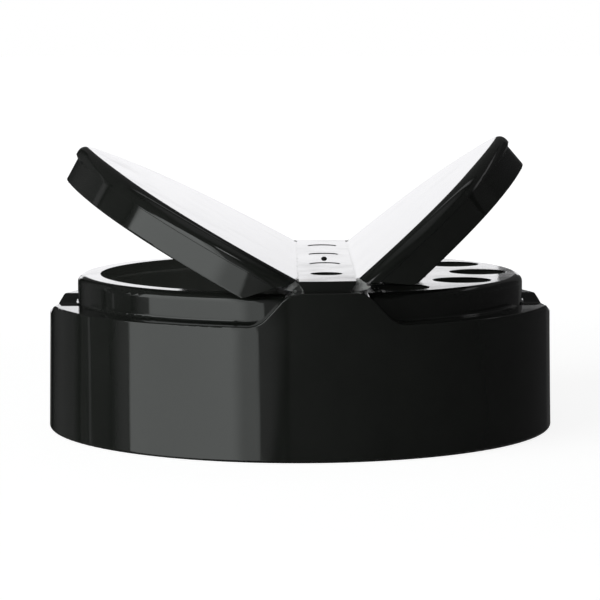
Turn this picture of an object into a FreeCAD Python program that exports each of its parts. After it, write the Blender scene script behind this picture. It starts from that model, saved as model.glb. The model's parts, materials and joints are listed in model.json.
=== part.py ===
"""Dual-flap dispensing cap for a wide-mouth spice jar, moulded in glossy black polypropylene.

A threaded skirt carries a flat ledge and a raised round deck. A bar crosses the deck, a little
to the right of the middle. On its left a large opening takes a measuring spoon, and on its right
a group of round holes sprinkles. Each side has a flap that hangs on a thin living hinge at the
bar's top edge. The flaps stand partly open.

Millimetres, +Z up. The origin is on the jar's axis at the skirt's bottom rim. The spoon side is -X,
the sprinkle side is +X, and the bar runs along Y.
"""
import FreeCAD, Part

import math
import os

from FreeCAD import Vector

# Skirt and ledge
skirt_radius = 33.0
skirt_wall = 1.4
skirt_draft = 0.25
skirt_rim_round = 0.35
ledge_height = 16.4
ledge_thickness = 2.0
top_edge_round = 0.2

# Neck side of the skirt: lead-in, rounded corners and the land that seals on the jar's lip
lead_in = 0.7
bore_corner_round = 0.5
seal_inset = 1.9
seal_height = 0.5
seal_half_width = 0.45
seal_round = 0.15

# Jar thread: its crest's lowest turn starts at this height, and vertical breaks let the moulding strip
thread_pitch = 4.23
thread_turns = 1.5
thread_depth = 1.1
thread_crest_width = 0.9
thread_flank_run = 0.7
thread_start_height = 3.2
thread_break_width = 2.4
thread_breaks = 6

# Raised deck
ledge_width = 3.85
ring_wall = 1.5
ring_foot_round = 0.4
ring_root_round = 0.3
deck_rise = 3.55
deck_thickness = 1.4
deck_round = 1.0
deck_corner_round = 0.6

# Hinge bar between the two flaps: its top face runs between the two hinge lines
bar_rise = 1.75
hinge_spacing = 7.37
bar_offset = 3.17
bar_undercut = 0.75
bar_neck_height = 0.35
bar_wall = 0.885
bar_core_round = 0.5
bar_core_margin = 2.65

# Living hinges
web_thickness = 0.3
web_length = 0.5
web_inset = 1.45

# Moulding marks on the bar's top: the gate's nub in the middle, and round ejector marks
gate_radius = 0.4
gate_height = 0.3
mark_radius = 2.0
near_mark_depth = 0.28
other_mark_depth = 0.07
inner_mark_place = 7.0
outer_mark_place = 20.6

# Front and back panels, flush with the skirt
panel_rise = 0.47
panel_overhang = 0.965
panel_flank_run = 3.65
panel_round = 3.2

# Finger notches in the ledge, and the bead at the ring's foot in each
notch_depth = 1.12
notch_floor_width = 10.6
notch_slope_run = 2.7
notch_round = 1.5
bead_radius = 0.35
bead_rise = 0.92
bead_reach = 0.27

# Spoon opening
spoon_opening_margin = 2.95
spoon_opening_inset = 3.885
spoon_opening_round = 3.0

# Sprinkle holes: an arc of holes near the rim, and a pair nearer the bar
hole_radius = 3.6
hole_edge_round = 0.2
hole_margin = 2.15
hole_row_spacing = 9.4
outer_hole_angles = (-58.5, -28.3, 0.0, 28.3, 58.5)
inner_hole_angles = (-27.0, 27.0)

# Flaps: plate, wall and the crease that runs round the wall below the rounded top edge
flap_gap = 0.3
flap_wall = 1.2
flap_plate = 1.3
flap_foot_round = 0.25
flap_foot_gap = 0.2
flap_panel_gap = 0.32
flap_edge_round = 1.8
crease_depth = 1.95
crease_step = 0.06

# Lift tab at each flap's tip: how far the wall and then the lip reach out
tab_reach = 1.39
tab_lip_reach = 0.44
tab_spread = 31.0
tab_tip_radius = 11.0
tab_round = 1.15

# Rib inside the flap's tip, which seats over the bead
tip_rib_width = 7.0
tip_rib_height = 0.7
tip_rib_gap = 0.2

# Stoppers under the flaps
plug_gap = 0.35
plug_taper = 0.3
plug_reach = 0.65
plug_wall = 0.8
rib_gap = 0.5
rib_wall = 0.9
rib_reach = 0.75

# How far each flap stands open
spoon_flap_angle = 28.6
sprinkle_flap_angle = 40.4

# Values worked out from those above
bore_radius = skirt_radius - skirt_wall
seal_radius = bore_radius - seal_inset
ledge_underside = ledge_height - ledge_thickness
ring_radius = skirt_radius - ledge_width
ring_bore = ring_radius - ring_wall
deck_height = ledge_height + deck_rise
deck_underside = deck_height - deck_thickness
bar_height = deck_height + bar_rise
left_hinge = bar_offset - hinge_spacing / 2
right_hinge = bar_offset + hinge_spacing / 2
half_web = web_length / 2
notch_floor = ledge_height - notch_depth
panel_height = deck_height + panel_rise
panel_half_top = hinge_spacing / 2 + panel_overhang
panel_half_base = panel_half_top + panel_flank_run
spoon_opening_radius = ring_radius - spoon_opening_margin
spoon_opening_edge = left_hinge - spoon_opening_inset
outer_hole_circle = ring_radius - hole_margin - hole_radius
inner_hole_circle = outer_hole_circle - hole_row_spacing
flap_radius = ring_radius + flap_gap + flap_wall
flap_underside = bar_height - flap_plate
flap_foot = ledge_height + flap_foot_gap
crease_height = bar_height - crease_depth
tab_tip = flap_radius - crease_step + tab_reach
web_half_width = flap_radius - web_inset
crest_spare = 0.3
overlap = 0.5
clear = 1.0
beyond = skirt_radius + 5.0
near = 1e-3


def face_of(corners, place):
    """Face through (across, up, round) corners, each corner rounded by its own radius."""
    points = [Vector(across, up, 0) for across, up, _ in corners]
    edges = []
    ends = []
    for n, (_, _, radius) in enumerate(corners):
        here = points[n]
        back = (points[n - 1] - here).normalize()
        ahead = (points[(n + 1) % len(points)] - here).normalize()
        if radius == 0:
            ends.append((here, here))
            continue
        half = back.getAngle(ahead) / 2
        run = radius / math.tan(half)
        inward = (back + ahead).normalize()
        middle = here + inward * (radius / math.sin(half) - radius)
        start = here + back * run
        finish = here + ahead * run
        edges.append(Part.Arc(place(start), place(middle), place(finish)).toShape())
        ends.append((start, finish))
    for n, (start, _) in enumerate(ends):
        last = ends[n - 1][1]
        if last.distanceToPoint(start) > 1e-6:
            edges.append(Part.makeLine(place(last), place(start)))
    return Part.Face(Part.Wire(Part.__sortEdges__(edges)))


def in_xz(point):
    return Vector(point.x, 0, point.y)


def in_yz(point):
    return Vector(0, point.x, point.y)


def along_y(corners, half_length):
    """Bar of a section drawn in the XZ plane, from -half_length to +half_length along Y."""
    section = face_of(corners, in_xz)
    section.translate(Vector(0, -half_length, 0))
    return section.extrude(Vector(0, 2 * half_length, 0))


def disc(radius, low, high, x=0.0, y=0.0):
    return Part.makeCylinder(radius, high - low, Vector(x, y, low))


def skirt_radius_at(height):
    """The skirt's outer face draws in by its draft from the rim to the ledge."""
    return skirt_radius - skirt_draft * height / ledge_height


def on_circle(radius, degrees):
    angle = math.radians(degrees)
    return radius * math.cos(angle), radius * math.sin(angle)


def lies_at(edge, height):
    box = edge.BoundBox
    return abs(box.ZMin - height) < near and abs(box.ZMax - height) < near


def edges_at(shape, height):
    """Edges that lie wholly at one height."""
    return [edge for edge in shape.Edges if lies_at(edge, height)]


def moulded_shell():
    """Skirt, ledge, ring and deck, turned about the jar's axis in one section."""
    section = [
        (0, deck_underside, 0),
        (ring_bore, deck_underside, deck_corner_round),
        (ring_bore, ledge_underside, ring_root_round),
        (seal_radius - seal_half_width, ledge_underside, 0),
        (seal_radius, ledge_underside - seal_height, seal_round),
        (seal_radius + seal_half_width, ledge_underside, 0),
        (bore_radius, ledge_underside, bore_corner_round),
        (bore_radius, lead_in, 0),
        (bore_radius + lead_in, 0, 0),
        (skirt_radius, 0, skirt_rim_round),
        (skirt_radius_at(ledge_height), ledge_height, 0),
        (ring_radius, ledge_height, ring_foot_round),
        (ring_radius, deck_height, deck_round),
        (0, deck_height, 0),
    ]
    return face_of(section, in_xz).revolve(Vector(0, 0, 0), Vector(0, 0, 1), 360)


def panel_section(gap=0.0):
    """Outline of a panel: a flat top and two S-shaped flanks that run out along the ledge."""
    slope = panel_flank_run / (panel_height - ledge_height)
    shift = gap * math.hypot(1, slope)
    half_top = panel_half_top + shift - slope * gap
    half_base = panel_half_base + shift
    return [
        (bar_offset - beyond, ledge_underside, 0),
        (bar_offset - beyond, ledge_height, 0),
        (bar_offset - half_base, ledge_height, panel_round - gap),
        (bar_offset - half_top, panel_height + gap, panel_round + gap),
        (bar_offset + half_top, panel_height + gap, panel_round + gap),
        (bar_offset + half_base, ledge_height, panel_round - gap),
        (bar_offset + beyond, ledge_height, 0),
        (bar_offset + beyond, ledge_underside, 0),
    ]


def panels():
    """Both panels: they stand on the ledge between the ring and the skirt's own drafted face."""
    base = ledge_height - overlap
    height = panel_height - base
    drafted = Part.makeCone(
        skirt_radius_at(base), skirt_radius_at(panel_height), height, Vector(0, 0, base)
    )
    band = drafted.cut(disc(ring_radius - overlap, base - clear, panel_height + clear))
    half = panel_half_base + panel_round
    window = Part.makeBox(2 * half, 2 * beyond, height, Vector(bar_offset - half, -beyond, base))
    return band.common(along_y(panel_section(), beyond)).common(window)


def hinge_bar():
    """Bar with undercut sides, so each flap's hinge edge has a groove to fold into."""
    left = left_hinge + half_web
    right = right_hinge - half_web
    hip = bar_height - web_thickness
    neck = deck_height + bar_neck_height
    section = [
        (left + bar_undercut, deck_height - overlap, 0),
        (left + bar_undercut, neck, 0),
        (left, hip, 0),
        (left, bar_height, 0),
        (right, bar_height, 0),
        (right, hip, 0),
        (right - bar_undercut, neck, 0),
        (right - bar_undercut, deck_height - overlap, 0),
    ]
    return along_y(section, beyond).common(disc(flap_radius, deck_underside, bar_height + clear))


def bar_core():
    """Recess under the bar that keeps its wall as thick as the deck's."""
    half = hinge_spacing / 2 - half_web - bar_undercut - bar_wall
    roof = bar_height - deck_thickness
    section = [
        (bar_offset - half, deck_underside - clear, 0),
        (bar_offset - half, roof, bar_core_round),
        (bar_offset + half, roof, bar_core_round),
        (bar_offset + half, deck_underside - clear, 0),
    ]
    return along_y(section, ring_bore - bar_core_margin)


def notches():
    """Finger notches at both flap tips: a flat floor with ends that slope up to the ledge."""
    half = notch_floor_width / 2
    edge = half + notch_slope_run + notch_round
    section = [
        (-edge, ledge_height + overlap, 0),
        (-edge, ledge_height, 0),
        (-half - notch_slope_run, ledge_height, notch_round),
        (-half, notch_floor, notch_round),
        (half, notch_floor, notch_round),
        (half + notch_slope_run, ledge_height, notch_round),
        (edge, ledge_height, 0),
        (edge, ledge_height + overlap, 0),
    ]
    face = face_of(section, in_yz)
    face.translate(Vector(-beyond, 0, 0))
    channel = face.extrude(Vector(2 * beyond, 0, 0))
    return channel.cut(disc(ring_radius, notch_floor - clear, ledge_height + clear))


def top_edges(body):
    """Edges of the skirt's outer face along the ledge, the notches and the panels."""
    found = []
    for edge in body.Edges:
        points = edge.discretize(5)
        if min(point.z for point in points) < notch_floor - near:
            continue
        misses = [abs(math.hypot(p.x, p.y) - skirt_radius_at(p.z)) for p in points]
        if max(misses) < near:
            found.append(edge)
    return found


def beads():
    """Short beads at the ring's foot, one in each notch, that stop the flap's tip."""
    spread = math.degrees(math.asin(notch_floor_width / 2 / ring_radius))
    centre = Vector(ring_radius + bead_reach - bead_radius, 0, notch_floor + bead_rise)
    found = []
    for facing in (0, 180):
        circle = Part.makeCircle(bead_radius, centre, Vector(0, 1, 0))
        bead = Part.Face(Part.Wire(circle)).revolve(Vector(0, 0, 0), Vector(0, 0, 1), 2 * spread)
        bead.rotate(Vector(0, 0, 0), Vector(0, 0, 1), facing - spread)
        found.append(bead)
    return found


def d_shape(radius, edge, corner, low, high):
    """D-shaped block on the -X side: a round back, a straight edge and rounded corners."""
    block = Part.makeBox(2 * radius, 4 * radius, high - low, Vector(edge - 2 * radius, -2 * radius, low))
    block = block.common(disc(radius, low, high))
    upright = [e for e in block.Edges if e.BoundBox.ZLength > (high - low) * 0.99]
    return block.makeFillet(corner, upright)


def sprinkle_places():
    outer = [on_circle(outer_hole_circle, angle) for angle in outer_hole_angles]
    inner = [on_circle(inner_hole_circle, angle) for angle in inner_hole_angles]
    return outer + inner


def thread():
    """Thread for the jar's neck: a helical rib with a round crest, cut through by upright breaks."""
    crest_radius = bore_radius - thread_depth
    slope = thread_flank_run / thread_depth
    half_crest = thread_crest_width / 2
    half_root = half_crest + thread_flank_run
    corners = [
        Vector(bore_radius + overlap, 0, -half_root - slope * overlap),
        Vector(bore_radius + overlap, 0, half_root + slope * overlap),
        Vector(crest_radius - crest_spare, 0, half_crest - slope * crest_spare),
        Vector(crest_radius - crest_spare, 0, slope * crest_spare - half_crest),
    ]
    profile = Part.makePolygon(corners + corners[:1])
    path = Part.makeHelix(thread_pitch, thread_pitch * thread_turns, bore_radius)
    rib = Part.Wire(path).makePipeShell([profile], True, True)
    rib.translate(Vector(0, 0, thread_start_height))
    rib = rib.cut(disc(crest_radius, -clear, ledge_height))
    gaps = []
    for n in range(thread_breaks):
        corner = Vector(0, -thread_break_width / 2, 0)
        gap = Part.makeBox(beyond, thread_break_width, ledge_height, corner)
        gap.rotate(Vector(0, 0, 0), Vector(0, 0, 1), n * 360 / thread_breaks)
        gaps.append(gap)
    return rib.cut(gaps)


def gate():
    """Small domed nub that is left where the plastic was injected."""
    dome_radius = (gate_radius**2 + gate_height**2) / (2 * gate_height)
    return Part.makeSphere(dome_radius, Vector(bar_offset, 0, bar_height + gate_height - dome_radius))


def ejector_marks():
    """Shallow round marks that the ejector pins leave along the bar's top."""
    places = [
        (-outer_mark_place, near_mark_depth),
        (-inner_mark_place, other_mark_depth),
        (inner_mark_place, other_mark_depth),
        (outer_mark_place, other_mark_depth),
    ]
    top = bar_height + clear
    return [disc(mark_radius, bar_height - depth, top, bar_offset, y) for y, depth in places]


def hole_rims(body):
    """Top edges of the sprinkle holes."""
    round_edges = [edge for edge in edges_at(body, deck_height) if hasattr(edge.Curve, "Radius")]
    return [edge for edge in round_edges if abs(edge.Curve.Radius - hole_radius) < near]


def cap_body():
    body = moulded_shell().fuse(panels()).cut(notches()).removeSplitter()
    body = body.makeFillet(top_edge_round, top_edges(body))
    body = body.fuse([hinge_bar()] + beads())
    body = body.cut(bar_core())
    through = (deck_underside - overlap, deck_height + overlap)
    body = body.cut(
        d_shape(spoon_opening_radius, spoon_opening_edge, spoon_opening_round, *through)
    )
    body = body.cut([disc(hole_radius, *through, x, y) for x, y in sprinkle_places()])
    body = body.removeSplitter()
    body = body.makeFillet(hole_edge_round, hole_rims(body))
    body = body.fuse(gate())
    body = body.cut(ejector_marks())
    return body.fuse(thread()).removeSplitter()


def flap_outline(radius, tip, tip_radius, height):
    """Flap outline: a circle that runs out to a blunt point at +X by two long flank arcs."""
    spread = math.radians(tab_spread)
    point = tip - tip_radius
    flank = (tip_radius**2 - point**2 - radius**2 + 2 * point * radius * math.cos(spread)) / (
        2 * (point * math.cos(spread) - radius + tip_radius)
    )
    offset = radius - flank
    centre = Vector(offset * math.cos(spread), offset * math.sin(spread), 0)
    tip_centre = Vector(point, 0, 0)
    away = (tip_centre - centre).normalize()
    meet = centre + away * flank
    start = Vector(radius * math.cos(spread), radius * math.sin(spread), 0)
    middle = centre + ((start - centre).normalize() + away).normalize() * flank

    def lift(point):
        return Vector(point.x, point.y, height)

    def below(point):
        return Vector(point.x, -point.y, height)

    round_back = Part.Arc(lift(start), Vector(-radius, 0, height), below(start))
    near_flank = Part.Arc(below(start), below(middle), below(meet))
    blunt_point = Part.Arc(below(meet), Vector(tip, 0, height), lift(meet))
    far_flank = Part.Arc(lift(meet), lift(middle), lift(start))
    arcs = [round_back, near_flank, blunt_point, far_flank]
    return Part.Wire([arc.toShape() for arc in arcs])


def edge_round_at(point):
    """The wide round holds as far as the outline's circle does, and the tight one past it."""
    on_circle_part = abs(math.hypot(point.x, point.y) - flap_radius) < near
    return flap_edge_round if on_circle_part else tab_round


def rounded_top(block):
    """Rounds the flap's top edge: widely round the back, drawing in to a tighter round at the tip."""
    document = FreeCAD.newDocument()
    base = document.addObject("Part::Feature")
    base.Shape = block
    rounding = document.addObject("Part::Fillet")
    rounding.Base = base
    rounds = []
    for n, edge in enumerate(block.Edges, 1):
        if not lies_at(edge, bar_height):
            continue
        start = edge_round_at(edge.valueAt(edge.FirstParameter))
        finish = edge_round_at(edge.valueAt(edge.LastParameter))
        rounds.append((n, start, finish))
    rounding.Edges = rounds
    document.recompute()
    rounded = rounding.Shape.copy()
    FreeCAD.closeDocument(document.Name)
    return rounded


def flap_blank():
    """Block of the flap's outline: the wall, and above a crease the edge with its lip at the tip."""
    lip_tip = tab_tip + tab_lip_reach
    block = Part.Face(flap_outline(flap_radius, lip_tip, tab_tip_radius, flap_foot)).extrude(
        Vector(0, 0, bar_height - flap_foot)
    )
    block = rounded_top(block)
    wall_radius = flap_radius - crease_step
    wall = Part.Face(flap_outline(wall_radius, tab_tip, tab_tip_radius, ledge_underside)).extrude(
        Vector(0, 0, crease_height - ledge_underside)
    )
    flare = tab_lip_reach + overlap
    narrow = flap_outline(wall_radius, tab_tip, tab_tip_radius, crease_height)
    wide = flap_outline(
        wall_radius + flare, tab_tip + flare, tab_tip_radius + flare, crease_height + flare
    )
    funnel = Part.makeLoft([narrow, wide], True, True)
    above = Part.Face(wide).extrude(Vector(0, 0, bar_height - crease_height))
    return block.common(wall.fuse([funnel, above]))


def flap_shell(hinge):
    """Closed flap on the +X side of a hinge line: plate, wall, lip and bevelled hinge edge."""
    shell = flap_blank()
    shell = shell.makeFillet(flap_foot_round, edges_at(shell, flap_foot))
    hollow = Part.Face(
        flap_outline(
            flap_radius - flap_wall,
            tab_tip - flap_wall,
            tab_tip_radius - flap_wall,
            ledge_underside,
        )
    ).extrude(Vector(0, 0, flap_underside - ledge_underside))
    shell = shell.cut(hollow)
    edge = hinge + half_web
    hip = bar_height - web_thickness
    heel = edge + bar_undercut
    kept = [
        (edge, bar_height + clear, 0),
        (edge, hip, 0),
        (heel, deck_height + bar_neck_height, 0),
        (heel, ledge_underside, 0),
        (beyond, ledge_underside, 0),
        (beyond, bar_height + clear, 0),
    ]
    return shell.common(along_y(kept, beyond))


def tip_rib():
    """Short rib inside the flap's tip that comes down over the bead at the ring's foot."""
    reach = ring_radius + tip_rib_gap
    start = reach - clear
    length = tab_tip - flap_wall / 2 - start
    corner = Vector(start, -tip_rib_width / 2, flap_foot)
    block = Part.makeBox(length, tip_rib_width, tip_rib_height, corner)
    return block.cut(disc(reach, ledge_underside, flap_underside))


def clear_of_panels(flap, side):
    """Cuts the flap's wall ends to the panels' S-shaped flanks, with a small gap."""
    corners = panel_section(flap_panel_gap)
    tool = along_y(corners, beyond)
    tool = tool.cut(disc(ring_radius - overlap, 0, bar_height))
    if side < 0:
        tool = tool.mirror(Vector(0, 0, 0), Vector(1, 0, 0))
    return flap.cut(tool)


def sprinkle_plugs():
    """Short hollow stoppers, one over each sprinkle hole."""
    low = deck_height - plug_reach
    length = flap_underside - low
    root = hole_radius - plug_gap
    end = root - plug_taper
    plugs = []
    for x, y in sprinkle_places():
        outside = Part.makeCone(end, root, length, Vector(x, y, low))
        foot = disc(root, flap_underside, flap_underside + overlap, x, y)
        inside = Part.makeCone(end - plug_wall, root - plug_wall, length, Vector(x, y, low))
        plugs.append(outside.fuse(foot).cut(inside))
    return plugs


def spoon_rib():
    """D-shaped sealing rib that drops just inside the spoon opening."""
    low = deck_height - rib_reach
    high = flap_underside + overlap
    outer = d_shape(
        spoon_opening_radius - rib_gap,
        spoon_opening_edge - rib_gap,
        spoon_opening_round - rib_gap,
        low,
        high,
    )
    inset = rib_gap + rib_wall
    inner = d_shape(
        spoon_opening_radius - inset,
        spoon_opening_edge - inset,
        spoon_opening_round - inset,
        low - clear,
        flap_underside,
    )
    return outer.cut(inner)


def opened(flap, hinge, degrees):
    flap.rotate(Vector(hinge, 0, bar_height), Vector(0, 1, 0), degrees)
    return flap


def sprinkle_flap():
    flap = clear_of_panels(flap_shell(right_hinge), 1)
    flap = flap.fuse([tip_rib()] + sprinkle_plugs()).removeSplitter()
    return opened(flap, right_hinge, -sprinkle_flap_angle)


def spoon_flap():
    flap = clear_of_panels(flap_shell(-left_hinge), -1)
    flap = flap.fuse(tip_rib())
    flap = flap.mirror(Vector(0, 0, 0), Vector(1, 0, 0))
    flap = flap.fuse(spoon_rib()).removeSplitter()
    return opened(flap, left_hinge, spoon_flap_angle)


def hinge_web(side, degrees):
    """Thin strip of a living hinge, bent as far as its flap stands open."""
    turn = math.radians(degrees)
    bend = half_web / math.tan(turn / 2)
    hinge = right_hinge if side > 0 else left_hinge
    centre = Vector(hinge - side * half_web, -web_half_width, bar_height + bend)

    def spoke(radius, angle):
        across = side * radius * math.sin(angle)
        return centre + Vector(across, 0, -radius * math.cos(angle))

    upper = Part.Arc(spoke(bend, 0), spoke(bend, turn / 2), spoke(bend, turn)).toShape()
    thick = bend + web_thickness
    lower = Part.Arc(spoke(thick, turn), spoke(thick, turn / 2), spoke(thick, 0)).toShape()
    at_flap = Part.makeLine(spoke(bend, turn), spoke(thick, turn))
    at_bar = Part.makeLine(spoke(thick, 0), spoke(bend, 0))
    face = Part.Face(Part.Wire([upper, at_flap, lower, at_bar]))
    return face.extrude(Vector(0, 2 * web_half_width, 0))


def save(shape, name):
    solids = shape.Solids
    shape = solids[0] if len(solids) == 1 else Part.makeCompound(solids)
    os.makedirs("parts", exist_ok=True)
    shape.exportStep(os.path.join("parts", name + ".step"))
    volume = round(shape.Volume)
    print(name, len(solids), "solid", shape.isValid(), volume, "mm3", len(shape.Faces), "faces")


save(cap_body(), "cap_body")
save(spoon_flap(), "spoon_flap")
save(sprinkle_flap(), "sprinkle_flap")
save(hinge_web(-1, spoon_flap_angle), "spoon_hinge_web")
save(hinge_web(1, sprinkle_flap_angle), "sprinkle_hinge_web")
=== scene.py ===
import json
import math

import bpy
from mathutils import Euler, Matrix, Vector


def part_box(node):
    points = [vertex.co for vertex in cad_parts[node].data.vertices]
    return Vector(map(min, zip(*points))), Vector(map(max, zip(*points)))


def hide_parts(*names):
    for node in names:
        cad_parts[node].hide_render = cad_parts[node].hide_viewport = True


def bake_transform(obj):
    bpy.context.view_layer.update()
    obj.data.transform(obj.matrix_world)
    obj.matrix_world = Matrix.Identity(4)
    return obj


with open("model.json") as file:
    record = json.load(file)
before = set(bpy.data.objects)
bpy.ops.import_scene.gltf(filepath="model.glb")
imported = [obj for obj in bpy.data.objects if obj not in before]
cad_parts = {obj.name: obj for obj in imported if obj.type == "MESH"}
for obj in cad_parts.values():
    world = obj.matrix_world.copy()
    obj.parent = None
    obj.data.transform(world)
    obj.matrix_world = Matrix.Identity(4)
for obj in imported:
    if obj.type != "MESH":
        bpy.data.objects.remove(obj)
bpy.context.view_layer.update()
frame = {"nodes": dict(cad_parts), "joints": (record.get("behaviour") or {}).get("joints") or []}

# Studio camera
# A long lens stands low in front of the cap, a third of a metre away, and looks a little down on it.
# Its height, distance and turn put the cap in the frame where the photograph has it.
PHOTO_SIDE = 600
FOCAL_IN_PIXELS = 2586.4
SENSOR_WIDTH = 36.0
CAMERA_DISTANCE = 0.33905
CAMERA_HEIGHT = 0.05214
LOOK_DOWN = math.radians(6.043)
CAMERA_TURN = math.radians(-0.278)
CAMERA_ROLL = math.radians(-0.09)
NEAREST_SEEN = 0.01
FARTHEST_SEEN = 20.0

lens = bpy.data.cameras.new("camera")
lens.sensor_width = SENSOR_WIDTH
lens.lens = FOCAL_IN_PIXELS / PHOTO_SIDE * SENSOR_WIDTH
lens.clip_start = NEAREST_SEEN
lens.clip_end = FARTHEST_SEEN
camera = bpy.data.objects.new("camera", lens)
bpy.context.scene.collection.objects.link(camera)
bpy.context.scene.camera = camera
stand = Matrix.Rotation(CAMERA_TURN, 4, "Z") @ Matrix.Translation((0.0, -CAMERA_DISTANCE, CAMERA_HEIGHT))
tilt = Matrix.Rotation(math.radians(90.0) - LOOK_DOWN, 4, "X")
camera.matrix_world = stand @ tilt @ Matrix.Rotation(CAMERA_ROLL, 4, "Z")

# Cap body
# The threaded skirt, ledge, deck and hinge bar are one moulding of black polypropylene. Polished steel
# leaves its outside glossy, with faint upright and level streaks and wide shallow dips.
# The neck side is drawn off a turned core, so it is duller and carries fine turning rings.
PLASTIC_DARK = (0.0165, 0.0182, 0.0160, 1.0)
PLASTIC_LIGHT = (0.0205, 0.0222, 0.0198, 1.0)
PLASTIC_IOR = 1.49
GLOSS_LOW = 0.040
GLOSS_HIGH = 0.090
MOTTLE_SCALE = 130.0
SMEAR_SCALE = 210.0
DIP_SCALE = 75.0
DIP_DEPTH = 0.000022
UPRIGHT_STREAK_SCALE = 1500.0
UPRIGHT_STREAK_DEPTH = 0.0000018
LEVEL_STREAK_SCALE = 1300.0
LEVEL_STREAK_DEPTH = 0.0000014
CORE_ROUGHNESS = 0.24
TURNING_PITCH = 0.00035
TURNING_DEPTH = 0.0000028
BORE_EDGE = 0.0322
BORE_TOP = 0.0150
CEILING_EDGE = 0.0285
CEILING_TOP = 0.0192


def arithmetic(tree, operation, first, second, clamp=False):
    """One step of arithmetic, such as MULTIPLY. SQRT, SINE and ABSOLUTE don't read the second value."""
    node = tree.nodes.new("ShaderNodeMath")
    node.operation = operation
    node.use_clamp = clamp
    for socket, value in zip(node.inputs, (first, second)):
        if isinstance(value, (int, float)):
            socket.default_value = value
        else:
            tree.links.new(value, socket)
    return node.outputs["Value"]


def remap(tree, value, low, high, to_low, to_high, interpolation="LINEAR"):
    """Takes low to to_low and high to to_high, and holds both outside that range."""
    node = tree.nodes.new("ShaderNodeMapRange")
    node.interpolation_type = interpolation
    tree.links.new(value, node.inputs["Value"])
    node.inputs["From Min"].default_value = low
    node.inputs["From Max"].default_value = high
    node.inputs["To Min"].default_value = to_low
    node.inputs["To Max"].default_value = to_high
    return node.outputs["Result"]


def clouds(tree, place, scale, detail, stretch=(1.0, 1.0, 1.0)):
    """A cloud pattern of so many lumps in a metre. A small stretch draws the lumps out along that axis."""
    mapping = tree.nodes.new("ShaderNodeMapping")
    mapping.inputs["Scale"].default_value = stretch
    tree.links.new(place, mapping.inputs["Vector"])
    noise = tree.nodes.new("ShaderNodeTexNoise")
    noise.inputs["Scale"].default_value = scale
    noise.inputs["Detail"].default_value = detail
    tree.links.new(mapping.outputs["Vector"], noise.inputs["Vector"])
    return noise.outputs["Fac"]


def relief(tree, height, distance, under=None):
    """Surface relief of the given depth in metres, laid over the relief under it."""
    bump = tree.nodes.new("ShaderNodeBump")
    bump.inputs["Distance"].default_value = distance
    tree.links.new(height, bump.inputs["Height"])
    if under is not None:
        tree.links.new(under, bump.inputs["Normal"])
    return bump.outputs["Normal"]


def moulded_black(name, move=(0.0, 0.0, 0.0), turn=0.0):
    """Glossy black polypropylene. The move and turn lay an opened flap's pattern flat on the deck."""
    material = bpy.data.materials.new(name)
    material.use_nodes = True
    tree = material.node_tree
    shader = tree.nodes["Principled BSDF"]
    shader.inputs["IOR"].default_value = PLASTIC_IOR
    coordinates = tree.nodes.new("ShaderNodeTexCoord")
    laid = tree.nodes.new("ShaderNodeMapping")
    laid.inputs["Location"].default_value = move
    laid.inputs["Rotation"].default_value = (0.0, turn, 0.0)
    tree.links.new(coordinates.outputs["Object"], laid.inputs["Vector"])
    place = laid.outputs["Vector"]

    mottle = clouds(tree, place, MOTTLE_SCALE, detail=4.0)
    tint = tree.nodes.new("ShaderNodeMix")
    tint.data_type = "RGBA"
    tint.inputs["A"].default_value = PLASTIC_DARK
    tint.inputs["B"].default_value = PLASTIC_LIGHT
    lightness = remap(tree, mottle, low=0.3, high=0.7, to_low=0.0, to_high=1.0)
    tree.links.new(lightness, tint.inputs["Factor"])
    smear = clouds(tree, place, SMEAR_SCALE, detail=5.0, stretch=(1.0, 1.0, 0.35))
    gloss = remap(tree, smear, low=0.3, high=0.72, to_low=GLOSS_LOW, to_high=GLOSS_HIGH)
    dips = relief(tree, clouds(tree, place, DIP_SCALE, detail=1.0), DIP_DEPTH)
    upright = clouds(tree, place, UPRIGHT_STREAK_SCALE, detail=2.0, stretch=(1.0, 1.0, 0.03))
    streaks = relief(tree, upright, UPRIGHT_STREAK_DEPTH, dips)
    level = clouds(tree, place, LEVEL_STREAK_SCALE, detail=3.0, stretch=(0.03, 0.03, 1.0))
    normal = relief(tree, level, LEVEL_STREAK_DEPTH, streaks)
    return {
        "material": material, "tree": tree, "shader": shader, "place": place,
        "colour": tint.outputs["Result"], "roughness": gloss, "normal": normal,
    }


def finish_black(skin):
    """Joins the skin's colour, roughness and relief to its shader."""
    tree = skin["tree"]
    shader = skin["shader"]
    tree.links.new(skin["colour"], shader.inputs["Base Color"])
    tree.links.new(skin["roughness"], shader.inputs["Roughness"])
    tree.links.new(skin["normal"], shader.inputs["Normal"])
    return skin["material"]


def heights_and_radii(skin):
    """Height above the rim and distance from the jar's axis, both in metres."""
    tree = skin["tree"]
    parts = tree.nodes.new("ShaderNodeSeparateXYZ")
    tree.links.new(skin["place"], parts.inputs["Vector"])
    squares = [arithmetic(tree, "MULTIPLY", parts.outputs[axis], parts.outputs[axis]) for axis in ("X", "Y")]
    radius = arithmetic(tree, "SQRT", arithmetic(tree, "ADD", squares[0], squares[1]), 0.0)
    return parts.outputs["Z"], radius


def below_and_within(tree, height, radius, top, edge):
    """1 where the surface is lower than the top and nearer the axis than the edge, and 0 elsewhere."""
    return arithmetic(tree, "MULTIPLY",
                      arithmetic(tree, "LESS_THAN", radius, edge),
                      arithmetic(tree, "LESS_THAN", height, top))


def dull_core(skin, inner, rings):
    """Turned-steel finish where inner is 1: rougher, with fine rings in the given length."""
    tree = skin["tree"]
    skin["roughness"] = arithmetic(tree, "MAXIMUM", skin["roughness"],
                                   arithmetic(tree, "MULTIPLY", inner, CORE_ROUGHNESS))
    wave = arithmetic(tree, "SINE", arithmetic(tree, "MULTIPLY", rings, 2.0 * math.pi / TURNING_PITCH), 0.0)
    cut = arithmetic(tree, "MULTIPLY", inner, wave)
    skin["normal"] = relief(tree, cut, TURNING_DEPTH, skin["normal"])


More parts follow.
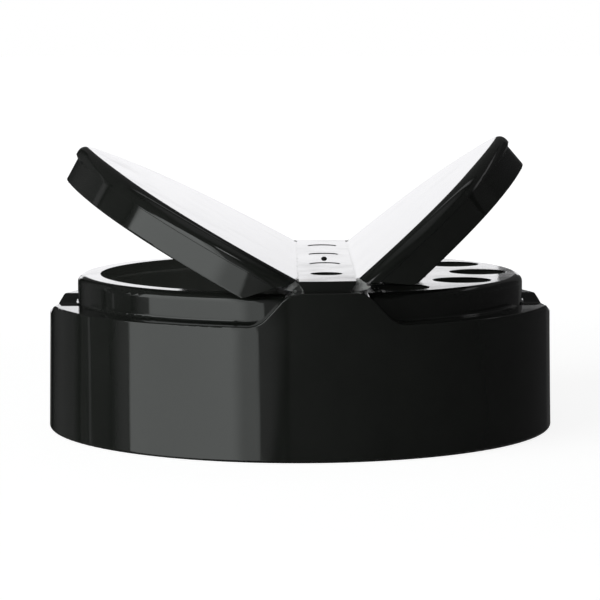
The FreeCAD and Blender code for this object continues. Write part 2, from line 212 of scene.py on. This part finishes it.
body_skin = moulded_black("black_cap_body")
body_tree = body_skin["tree"]
body_height, body_radius = heights_and_radii(body_skin)
in_bore = below_and_within(body_tree, body_height, body_radius, BORE_TOP, BORE_EDGE)
under_deck = below_and_within(body_tree, body_height, body_radius, CEILING_TOP, CEILING_EDGE)
neck_side = arithmetic(body_tree, "MAXIMUM", in_bore, under_deck)
dull_core(body_skin, neck_side, arithmetic(body_tree, "ADD", body_radius, body_height))
body = frame["nodes"]["cap_body"]
body.data.materials.clear()
body.data.materials.append(finish_black(body_skin))

# Spoon flap and sprinkle flap
# Each is a shallow black lid with a lift tab at its tip and stoppers underneath, moulded shut in one
# shot with the cap and then opened. Its outside is as glossy as the cap's, and its underside is duller.
# A joint's lower limit is its flap shut, so it gives how far open the flap stands.
JOINTS = {joint["name"]: joint for joint in frame["joints"]}
SPOON_HINGE = Vector(JOINTS["spoon_flap_hinge"]["pos_m"])
SPRINKLE_HINGE = Vector(JOINTS["sprinkle_flap_hinge"]["pos_m"])
SPOON_OPEN = -math.radians(JOINTS["spoon_flap_hinge"]["range_deg"][0])
SPRINKLE_OPEN = -math.radians(JOINTS["sprinkle_flap_hinge"]["range_deg"][0])
FLAP_INSIDE_EDGE = 0.0294
FLAP_PLATE_UNDERSIDE = 0.0206


def flap_skin(name, node, hinge, turn):
    """The flap is turned back about its hinge, so that one pattern lies on the closed flap."""
    shut = Euler((0.0, turn, 0.0)).to_matrix()
    skin = moulded_black(name, tuple(hinge - shut @ hinge), turn)
    height, radius = heights_and_radii(skin)
    inside = below_and_within(skin["tree"], height, radius, FLAP_PLATE_UNDERSIDE, FLAP_INSIDE_EDGE)
    dull_core(skin, inside, radius)
    flap = frame["nodes"][node]
    flap.data.materials.clear()
    flap.data.materials.append(finish_black(skin))


flap_skin("black_spoon_flap", "spoon_flap", SPOON_HINGE, -SPOON_OPEN)
flap_skin("black_sprinkle_flap", "sprinkle_flap", SPRINKLE_HINGE, SPRINKLE_OPEN)

# Living hinges
# Two strips of the same polypropylene, three tenths of a millimetre thick, join the bar to the flaps.
# They were creased on opening, so they have paled a little along the bend. Their crumpled ends are
# painted much paler, partly as real whitening and partly as a painted reflection of the light on them.
STRIP_THICKNESS = 0.0003
STRIP_HALF_WIDTH = 0.00025
STRIP_COLUMNS = 8
STRIP_ROWS = 220
STRIP_EDGE = 0.00004
STRIP_EDGE_SEGMENTS = 2
SHARP_EDGE = math.radians(60.0)
SMOOTH_EDGE = math.radians(50.0)
CREASE_DEPTH = 0.000012
CRUMPLE_START = 0.0272
CRUMPLE_DEPTH = 0.00007
SKIN_ROWS = 7
SKIN_CRUMPLE = 0.00013
SKIN_INSET = 0.00006
SPOON_MOUTH = ((-0.00080, -0.00125), (0.00142, -0.00115))
SPRINKLE_MOUTH = ((-0.00088, -0.00128), (0.00155, -0.00085))
SPOON_SEED = 12
SPRINKLE_SEED = 13
WHITENED_DARK = (0.024, 0.026, 0.024, 1.0)
WHITENED_AND_GLINT_PALE = (0.78, 0.785, 0.77, 1.0)
PALE_ENDS_START = 0.0255
PALE_ENDS_FULL = 0.0290
STRAIN_SCALE = 900.0
FLECK_SCALE = 1300.0
SPOON_SPREAD = (0.44, 0.52)
SPRINKLE_SPREAD = (0.22, 0.44)


def whitened_and_glint_painted_plastic(name, spread):
    """Black polypropylene with the pale bloom of a plastic that has been creased and stretched. Its ends
    carry pale flecks that are partly real whitening and partly a painted reflection of light.
    The spread is the range of the cloud pattern over which its ends turn from black to pale."""
    skin = moulded_black(name)
    tree = skin["tree"]
    place = skin["place"]
    parts = tree.nodes.new("ShaderNodeSeparateXYZ")
    tree.links.new(place, parts.inputs["Vector"])
    along = arithmetic(tree, "ABSOLUTE", parts.outputs["Y"], 0.0)
    near_ends = remap(tree, along, PALE_ENDS_START, PALE_ENDS_FULL, 0.0, 1.0, "SMOOTHSTEP")
    strain = clouds(tree, place, STRAIN_SCALE, detail=6.0, stretch=(0.4, 2.4, 0.4))
    bloom = remap(tree, strain, low=0.36, high=0.72, to_low=0.0, to_high=0.10)
    # Pale flecks near the ends: partly real stress whitening, partly painted reflection and glints of light.
    flecks = clouds(tree, place, FLECK_SCALE, detail=4.0)
    whitened_and_glint_flecks = remap(tree, flecks, low=spread[0], high=spread[1], to_low=0.08, to_high=1.0)
    amount = arithmetic(tree, "ADD", bloom, arithmetic(tree, "MULTIPLY", near_ends, whitened_and_glint_flecks), clamp=True)
    pale = tree.nodes.new("ShaderNodeMix")
    pale.data_type = "RGBA"
    pale.inputs["A"].default_value = WHITENED_DARK
    pale.inputs["B"].default_value = WHITENED_AND_GLINT_PALE
    tree.links.new(amount, pale.inputs["Factor"])
    skin["colour"] = pale.outputs["Result"]
    skin["roughness"] = remap(tree, amount, low=0.0, high=1.0, to_low=0.06, to_high=0.16)
    return finish_black(skin)


def select_where(mesh_object, test):
    """Selects the vertices that pass the test. It starts and ends in edit mode."""
    bpy.ops.mesh.select_all(action="DESELECT")
    bpy.ops.object.mode_set(mode="OBJECT")
    for vertex in mesh_object.data.vertices:
        vertex.select = test(vertex.co)
    bpy.ops.object.mode_set(mode="EDIT")


def hang_skin(strip, end, top, bottom, seed):
    """Fans the strip's end row down into the mouth of the groove, row by row, and crumples it.
    Top and bottom hold the row's two ends, at the bar and at the flap, where it starts and stops."""
    y = max(vertex.co.y * end for vertex in strip.data.vertices)
    select_where(strip, lambda co: co.y * end > y - 0.2 * SKIN_INSET)
    row_ends = [point.copy() for point in top]
    for row in range(1, SKIN_ROWS + 1):
        share = row / SKIN_ROWS
        next_ends = [high.lerp(low, share) for high, low in zip(top, bottom)]
        before = row_ends[1] - row_ends[0]
        after = next_ends[1] - next_ends[0]
        middle = (next_ends[0] + next_ends[1]) / 2.0
        inward = SKIN_INSET if row == 1 else 0.0
        move = middle - (row_ends[0] + row_ends[1]) / 2.0 - Vector((0.0, end * inward, 0.0))
        centre = Vector((middle.x, end * y, middle.z))
        grow = after.length / before.length
        turn = math.atan2(after.z, after.x) - math.atan2(before.z, before.x)
        turn = math.remainder(turn, 2.0 * math.pi)
        bpy.ops.mesh.extrude_edges_move(TRANSFORM_OT_translate={"value": move})
        bpy.ops.transform.resize(value=(grow, 1.0, grow), center_override=centre)
        bpy.ops.transform.rotate(value=turn, orient_axis="Y", center_override=centre)
        row_ends = next_ends
    limit = min(top[0].z, top[1].z) - 0.5 * STRIP_THICKNESS
    select_where(strip, lambda co: co.y * end > y - 3.0 * SKIN_INSET and co.z < limit)
    bpy.ops.transform.vertex_random(offset=SKIN_CRUMPLE, seed=seed)


def hinge_strip(name, web, hinge, side, opened, mouth, material, seed):
    """One strip: a flat grid bent about the hinge, creased, and closed at its ends by crumpled skin.
    The mouth is where that skin ends at the bar and at the flap, beside and above the hinge line."""
    half_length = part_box(web)[1].y
    radius = STRIP_HALF_WIDTH / math.tan(opened / 2.0)
    arc = radius * opened
    bar_edge = hinge.x - side * STRIP_HALF_WIDTH
    bpy.ops.object.select_all(action="DESELECT")
    bpy.ops.mesh.primitive_grid_add(x_subdivisions=STRIP_COLUMNS, y_subdivisions=STRIP_ROWS, size=1.0,
                                    location=(bar_edge + side * arc / 2.0, 0.0, hinge.z))
    strip = bpy.context.object
    strip.name = name
    strip.scale = (arc, 2.0 * half_length, 1.0)
    bpy.ops.object.transform_apply(location=True, rotation=False, scale=True)

    bpy.ops.object.mode_set(mode="EDIT")
    step = arc / STRIP_COLUMNS
    pivot = Vector((bar_edge, 0.0, hinge.z))
    turned = 0.0
    for column in range(STRIP_COLUMNS + 1):
        half_turn = 0.5 if column in (0, STRIP_COLUMNS) else 1.0
        turn = half_turn * opened / STRIP_COLUMNS
        way = Vector((side * math.cos(turned), 0.0, math.sin(turned)))
        select_where(strip, lambda co: (co - pivot).dot(way) > step / 2.0)
        bpy.ops.transform.rotate(value=side * turn, orient_axis="Y", center_override=pivot)
        turned += turn
        pivot = pivot + step * Vector((side * math.cos(turned), 0.0, math.sin(turned)))
    flap_edge = Vector((hinge.x + side * STRIP_HALF_WIDTH * math.cos(opened), 0.0,
                        hinge.z + STRIP_HALF_WIDTH * math.sin(opened)))
    top = (Vector((bar_edge, 0.0, hinge.z)), flap_edge)

    def loose(co):
        """Whether a point is free to crumple, away from the bar, the flap and the end rows."""
        flat = Vector((co.x, 0.0, co.z))
        off_edges = min((flat - edge).length for edge in top) > 0.5 * step
        return off_edges and abs(co.y) < half_length - 0.5 * SKIN_INSET

    select_where(strip, lambda co: loose(co) and abs(co.y) < CRUMPLE_START)
    bpy.ops.transform.vertex_random(offset=CREASE_DEPTH, seed=seed)
    select_where(strip, lambda co: loose(co) and abs(co.y) > CRUMPLE_START)
    bpy.ops.transform.vertex_random(offset=CRUMPLE_DEPTH, seed=seed + 1)
    bottom = [hinge + Vector((side * across, 0.0, up)) for across, up in mouth]
    for end in (-1, 1):
        hang_skin(strip, end, top, bottom, seed + 2 + end)
    bpy.ops.object.mode_set(mode="OBJECT")

    thick = strip.modifiers.new("thickness", "SOLIDIFY")
    thick.thickness = STRIP_THICKNESS
    thick.offset = -1.0
    bpy.ops.object.modifier_apply(modifier=thick.name)
    soft = strip.modifiers.new("soft_edges", "BEVEL")
    soft.width = STRIP_EDGE
    soft.segments = STRIP_EDGE_SEGMENTS
    soft.limit_method = "ANGLE"
    soft.angle_limit = SHARP_EDGE
    bpy.ops.object.modifier_apply(modifier=soft.name)
    bpy.ops.object.shade_smooth_by_angle(angle=SMOOTH_EDGE)
    strip.data.materials.append(material)
    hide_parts(web)
    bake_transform(strip)


hinge_strip("spoon_hinge_strip", "spoon_hinge_web", SPOON_HINGE, -1, SPOON_OPEN,
            SPOON_MOUTH, whitened_and_glint_painted_plastic("whitened_and_glinting_spoon_hinge", SPOON_SPREAD), SPOON_SEED)
hinge_strip("sprinkle_hinge_strip", "sprinkle_hinge_web", SPRINKLE_HINGE, 1, SPRINKLE_OPEN,
            SPRINKLE_MOUTH, whitened_and_glint_painted_plastic("whitened_and_glinting_sprinkle_hinge", SPRINKLE_SPREAD), SPRINKLE_SEED)

# Shooting table
# A wide white table top. The camera sees a half-lit paint on it with a painted glow added, weaker
# near the cap so that a faint contact shadow shows, and low under the cap as painted shade.
# It isn't seen in the plastic's gloss, because the photographed cap reflects no table.
TABLE_SIDE = 8.0
TABLE_PAINT = (0.9, 0.9, 0.9, 1.0)
SEEN_PAINT = (0.5, 0.5, 0.5, 1.0)
GLOW_UNDER = 0.10
GLOW_NEAR = 0.88
GLOW_FAR = 1.0
CAP_EDGE = 0.0325
GLOW_START = 0.07
GLOW_END = 0.30

bpy.ops.object.select_all(action="DESELECT")
bpy.ops.mesh.primitive_plane_add(size=TABLE_SIDE, location=(0.0, 0.0, 0.0))
table = bpy.context.object
table.name = "table"
table.visible_glossy = False
paint = bpy.data.materials.new("table_paint")
paint.use_nodes = True
paint_tree = paint.node_tree
paint_tree.nodes.clear()
lit = paint_tree.nodes.new("ShaderNodeBsdfDiffuse")
lit.inputs["Color"].default_value = TABLE_PAINT
seen = paint_tree.nodes.new("ShaderNodeBsdfDiffuse")
seen.inputs["Color"].default_value = SEEN_PAINT
glow = paint_tree.nodes.new("ShaderNodeEmission")
spot = paint_tree.nodes.new("ShaderNodeTexCoord")
reach = paint_tree.nodes.new("ShaderNodeVectorMath")
reach.operation = "LENGTH"
paint_tree.links.new(spot.outputs["Object"], reach.inputs[0])
painted_glow = remap(paint_tree, reach.outputs["Value"], GLOW_START, GLOW_END, GLOW_NEAR, GLOW_FAR,
                  "SMOOTHSTEP")
# Under the cap the glow drops to GLOW_UNDER: painted shade where the cap shades the table.
shaded = arithmetic(paint_tree, "LESS_THAN", reach.outputs["Value"], CAP_EDGE)
painted_shade_under_cap = arithmetic(paint_tree, "MULTIPLY", shaded, GLOW_NEAR - GLOW_UNDER)
paint_tree.links.new(arithmetic(paint_tree, "SUBTRACT", painted_glow, painted_shade_under_cap), glow.inputs["Strength"])
bright = paint_tree.nodes.new("ShaderNodeAddShader")
paint_tree.links.new(seen.outputs["BSDF"], bright.inputs[0])
paint_tree.links.new(glow.outputs["Emission"], bright.inputs[1])
paint_path = paint_tree.nodes.new("ShaderNodeLightPath")
paint_mix = paint_tree.nodes.new("ShaderNodeMixShader")
paint_out = paint_tree.nodes.new("ShaderNodeOutputMaterial")
paint_tree.links.new(paint_path.outputs["Is Camera Ray"], paint_mix.inputs["Fac"])
paint_tree.links.new(lit.outputs["BSDF"], paint_mix.inputs[1])
paint_tree.links.new(bright.outputs["Shader"], paint_mix.inputs[2])
paint_tree.links.new(paint_mix.outputs["Shader"], paint_out.inputs["Surface"])
table.data.materials.append(paint)

# Left softbox
# A tall old cloth, slightly green and lit from behind, stands to the left of the camera and leans a
# little outwards. It is brightest at its near top, and makes the broad pale band on the skirt and the
# spoon flap.
CLOTH_WHITE = (0.985, 0.982, 1.0, 1.0)
OLD_CLOTH_WHITE = (0.960, 1.0, 0.985, 1.0)


def soft_lamp(name, azimuth, distance, height, size, strength, fades, tilt=0.0, lean=0.0,
              shades=(1.0, 1.0, 1.0, 1.0), hem=None, colour=CLOTH_WHITE):
    """A glowing cloth, turned to face the cap's axis. A tilt turns it down, or up where it is below 0.
    A lean takes its top towards higher azimuth. Azimuth 0 is at the camera, 90 at the cap's left and
    180 behind the cap. All angles are in degrees.
    Fades and shades take the cloth's edges in this order: lower azimuth, higher azimuth, foot, top.
    The fades are the widths over which those edges dim to nothing, as shares of the cloth's size.
    The shades are the brightness at those edges, as shares of the strength.
    A hem is a dimmer band along the edge of lower azimuth: where it starts to clear, where it has
    cleared, and its shade."""
    angle = math.radians(azimuth)
    centre = Vector((-math.sin(angle) * distance, -math.cos(angle) * distance, height))
    bpy.ops.object.select_all(action="DESELECT")
    bpy.ops.mesh.primitive_plane_add(size=1.0)
    cloth = bpy.context.object
    cloth.name = name
    facing = Matrix.Rotation(math.pi - angle, 4, "Z") @ Matrix.Rotation(math.radians(90.0 + tilt), 4, "X")
    leaning = facing @ Matrix.Rotation(math.radians(-lean), 4, "Z")
    cloth.matrix_world = Matrix.Translation(centre) @ leaning @ Matrix.Diagonal((size[0], size[1], 1.0, 1.0))
    bpy.ops.object.transform_apply(location=True, rotation=True, scale=True)
    cloth.visible_camera = False
    glow = bpy.data.materials.new(name)
    glow.use_nodes = True
    tree = glow.node_tree
    tree.nodes.clear()
    emission = tree.nodes.new("ShaderNodeEmission")
    output = tree.nodes.new("ShaderNodeOutputMaterial")
    tree.links.new(emission.outputs["Emission"], output.inputs["Surface"])
    emission.inputs["Color"].default_value = colour
    uv = tree.nodes.new("ShaderNodeTexCoord")
    parts = tree.nodes.new("ShaderNodeSeparateXYZ")
    tree.links.new(uv.outputs["UV"], parts.inputs["Vector"])
    across = parts.outputs["X"]
    upward = parts.outputs["Y"]
    level = arithmetic(tree, "MULTIPLY",
                       remap(tree, across, 0.0, 1.0, strength * shades[0], strength * shades[1]),
                       remap(tree, upward, 0.0, 1.0, shades[2], shades[3]))
    borders = (
        (across, 0.0, fades[0]), (across, 1.0, 1.0 - fades[1]),
        (upward, 0.0, fades[2]), (upward, 1.0, 1.0 - fades[3]),
    )
    for where, outer, inner in borders:
        if outer != inner:
            level = arithmetic(tree, "MULTIPLY", level,
                               remap(tree, where, outer, inner, 0.0, 1.0, "SMOOTHSTEP"))
    if hem is not None:
        level = arithmetic(tree, "MULTIPLY", level,
                           remap(tree, across, hem[0], hem[1], hem[2], 1.0, "SMOOTHSTEP"))
    tree.links.new(level, emission.inputs["Strength"])
    cloth.data.materials.append(glow)


soft_lamp("left_softbox", azimuth=52.04, distance=0.80, height=0.0554, lean=16.0, size=(0.98, 1.20),
          strength=1.62, fades=(0.02, 0.03, 0.04, 0.077), shades=(1.36, 0.90, 0.863, 1.45),
          hem=(0.125, 0.24, 0.62), colour=OLD_CLOTH_WHITE)

# Pale wall
# The pale wall just behind the left softbox is wider than the cloth and catches a little of its light.
# It rims the pale band softly on both sides.
soft_lamp("pale_wall", azimuth=52.0, distance=0.86, height=0.19, lean=16.0, size=(1.70, 1.10),
          strength=0.30, fades=(0.19, 0.15, 0.05, 0.15))

# Front lamp
# A smaller softbox hangs high behind the camera and points down at the cap. It draws the fine bright
# line along the near rounded edge of the sprinkle flap.
soft_lamp("front_lamp", azimuth=13.0, distance=0.9, height=1.09, tilt=50.0, size=(0.40, 0.24),
          strength=3.0, fades=(0.45, 0.25, 0.3, 0.3))

# Back softboxes
# Three lit cloths stand far behind the cap, with their feet below the table top, the tallest at the left
# and the lowest at the right. The opened flaps and the deck mirror them, so their tops look white and
# the right end stays dark.
soft_lamp("back_softbox", azimuth=177.03, distance=3.88, height=0.0895, size=(1.095, 0.699),
          strength=1.40, fades=(0.12, 0.0, 0.05, 0.02), shades=(1.10, 0.95, 0.84, 1.10))
soft_lamp("back_right_softbox", azimuth=187.0, distance=3.93, height=0.0625, size=(0.69, 0.645),
          strength=1.30, fades=(0.0, 0.25, 0.05, 0.05))
soft_lamp("back_left_softbox", azimuth=172.5, distance=4.05, height=0.30, size=(1.21, 0.62),
          strength=1.45, fades=(0.08, 0.10, 0.05, 0.15))

# Left edge lamp
# A narrow tube stands beyond the left softbox, with its top leaning backwards. It draws the thin pale
# line on the skirt's left side.
soft_lamp("edge_lamp", azimuth=116.5, distance=1.0, height=0.14, lean=28.0, size=(0.05, 1.1),
          strength=0.26, fades=(0.35, 0.35, 0.0, 0.1))

# Grey screens
# Two dim grey cloths stand in frames, one beyond the left edge lamp and one behind the camera, to its
# right. The first lifts the skirt's far left side a little, and the second lifts the front panel and
# the skirt's middle.
soft_lamp("left_screen", azimuth=139.0, distance=1.1, height=0.20, size=(0.9, 1.0),
          strength=0.085, fades=(0.2, 0.6, 0.0, 0.1))
soft_lamp("front_screen", azimuth=-17.0, distance=1.0, height=0.28, size=(0.86, 0.90),
          strength=0.099, fades=(0.0, 0.06, 0.05, 0.4), shades=(0.63, 1.0, 1.0, 1.0))

# Right flag
# A dark cloth stands at the cap's right, darker towards the back than towards the front. It keeps the
# skirt's right side a little darker than the room would.
soft_lamp("right_flag", azimuth=-112.0, distance=1.0, height=0.10, size=(1.80, 1.00),
          strength=0.062, fades=(0.0, 0.0, 0.0, 0.0), shades=(0.55, 0.95, 1.0, 1.0))

# High back cloths
# Two cloths hang high behind the cap, over its middle and at its right. They show the form of the flaps
# and the bar from above and from behind, and the front hardly mirrors them.
soft_lamp("high_back_softbox", azimuth=184.0, distance=0.75, height=1.25, tilt=-58.0, size=(1.00, 0.50),
          strength=0.70, fades=(0.3, 0.3, 0.3, 0.3))
soft_lamp("right_back_softbox", azimuth=-128.0, distance=0.95, height=0.80, tilt=-38.0, size=(0.80, 0.60),
          strength=0.50, fades=(0.3, 0.3, 0.3, 0.3))

# Top softbox
# A broad dim cloth is stretched level, high above the cap. It fills the upper faces, and fades out at
# its edges, so that it leaves no hard line.
soft_lamp("top_softbox", azimuth=0.0, distance=0.001, height=1.5, tilt=90.0, size=(1.6, 1.6),
          strength=0.26, fades=(0.35, 0.35, 0.35, 0.35))

# Table light
# A round lit panel lies on the table under the cap, inside the skirt's rim, and shines upwards. It
# keeps the neck side and the holes from being black, and isn't seen in the gloss.
PANEL_RADIUS = 0.0305
PANEL_HEIGHT = 0.0004
PANEL_BRIGHTNESS = 1.9

panel = bpy.data.lights.new("table_light", "AREA")
panel.shape = "DISK"
panel.size = 2.0 * PANEL_RADIUS
panel.energy = PANEL_BRIGHTNESS * math.pi * math.pi * PANEL_RADIUS ** 2
table_light = bpy.data.objects.new("table_light", panel)
bpy.context.scene.collection.objects.link(table_light)
table_light.location = (0.0, 0.0, PANEL_HEIGHT)
table_light.rotation_euler = (math.pi, 0.0, 0.0)
table_light.visible_glossy = False

# Room
# The studio is painted a dim grey, which the plastic mirrors wherever no lamp stands. The camera sees
# the room as plain white.
ROOM_GREY = (0.062, 0.062, 0.062, 1.0)
GROUND_WHITE = (1.0, 1.0, 1.0, 1.0)

room = bpy.data.worlds.new("room")
bpy.context.scene.world = room
room.use_nodes = True
room_tree = room.node_tree
dim = room_tree.nodes["Background"]
dim.inputs["Color"].default_value = ROOM_GREY
white = room_tree.nodes.new("ShaderNodeBackground")
white.inputs["Color"].default_value = GROUND_WHITE
room_path = room_tree.nodes.new("ShaderNodeLightPath")
room_mix = room_tree.nodes.new("ShaderNodeMixShader")
room_tree.links.new(room_path.outputs["Is Camera Ray"], room_mix.inputs["Fac"])
room_tree.links.new(dim.outputs["Background"], room_mix.inputs[1])
room_tree.links.new(white.outputs["Background"], room_mix.inputs[2])
room_tree.links.new(room_mix.outputs["Shader"], room_tree.nodes["World Output"].inputs["Surface"])

# Colour view
# The picture is shown as it was lit.
bpy.context.scene.view_settings.view_transform = "Standard"
